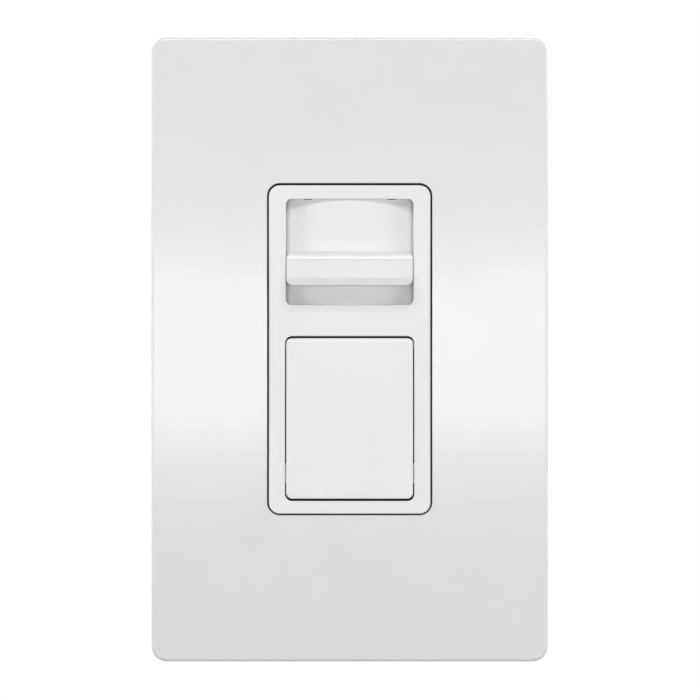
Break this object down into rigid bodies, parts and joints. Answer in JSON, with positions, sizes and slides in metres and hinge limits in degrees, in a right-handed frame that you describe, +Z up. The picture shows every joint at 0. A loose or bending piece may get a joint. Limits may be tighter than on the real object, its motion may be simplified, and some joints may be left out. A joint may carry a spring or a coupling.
{
  "type": "slide dimmer",
  "caption": "Wall mounted slide dimmer: a crowned screwless plate around a front with a sliding bar in a window over a large press paddle.",
  "frame": {"origin": "on the wall plane, at the middle of the cover plate's rim", "axes": "+Z up, +X to the right of someone facing the front, the front faces -Y and the wall box lies along +Y"},
  "size_m": [0.0794, 0.0412, 0.1252],
  "materials": {
    "plate_white": "glossy white, lightly crowned",
    "front_white": "satin gloss white",
    "carrier_plastic": "matte dark grey",
    "inner_plastic": "natural nylon",
    "black_plastic": "black moulding",
    "housing_grey": "fine grained dark grey",
    "strap_aluminium": "dark anodised sheet",
    "zinc_steel": "zinc plated",
    "green_screw": "green chromate",
    "spring_brass": "plain brass",
    "fibre": "red brown fibre",
    "board_green": "solder mask over glass fibre",
    "board_brown": "phenolic with a carbon track",
    "pad_grey": "grey silicone",
    "ferrite": "powdered iron",
    "copper_wire": "enamelled copper",
    "capacitor_yellow": "yellow case",
    "resistor_tan": "tan lacquer",
    "diode_blue": "blue lacquer"
  },
  "bodies": {
    "fixed": {"wall_plate": "plate_white", "sub_plate": "carrier_plastic", "sub_plate_screws": "zinc_steel", "yoke": "strap_aluminium", "mounting_screws": "zinc_steel", "screw_retainers": "fibre", "ground_screw": "green_screw", "face_frame": "front_white", "slider_well": "front_white", "pot_cover": "zinc_steel", "pot_track": "board_brown", "fixed_contacts": "spring_brass", "plunger_spring": "zinc_steel", "switch_body": "black_plastic", "circuit_board": "board_green", "triac": "black_plastic", "triac_pad": "pad_grey", "triac_rivet": "strap_aluminium", "choke_core": "ferrite", "choke_winding": "copper_wire", "film_capacitors": "capacitor_yellow", "resistors": "resistor_tan", "diac": "diode_blue", "back_housing": "housing_grey", "housing_screws": "zinc_steel", "terminal_plates": "spring_brass", "wire_clamps": "zinc_steel", "terminal_screws": "spring_brass"},
    "slider": {"slider_knob": "front_white", "slider_carriage": "inner_plastic", "pot_lever": "inner_plastic", "pot_wiper": "spring_brass"},
    "paddle": {"paddle": "front_white"},
    "plunger": {"switch_plunger": "inner_plastic", "contact_bridge": "spring_brass"}
  },
  "joints": [
    {"name": "slider_travel", "type": "slide", "parent": "fixed", "child": "slider", "axis": [0, 0, 1], "range_m": [-0.00337, 0.01032]},
    {"name": "paddle_press", "type": "hinge", "parent": "fixed", "child": "paddle", "pos_m": [0, -0.00515, 0.00108], "axis": [1, 0, 0], "range_deg": [0, 4], "stiffness_Nm_per_rad": 0.35, "springref_deg": -4.01},
    {"name": "plunger_travel", "type": "slide", "parent": "fixed", "child": "plunger", "axis": [0, 1, 0], "range_m": [0, 0.00161], "deforming": ["plunger_spring"]}
  ],
  "couplings": [
    {"joint": "plunger_travel", "follows": "paddle_press", "m_per_rad": 0.0229}
  ]
}
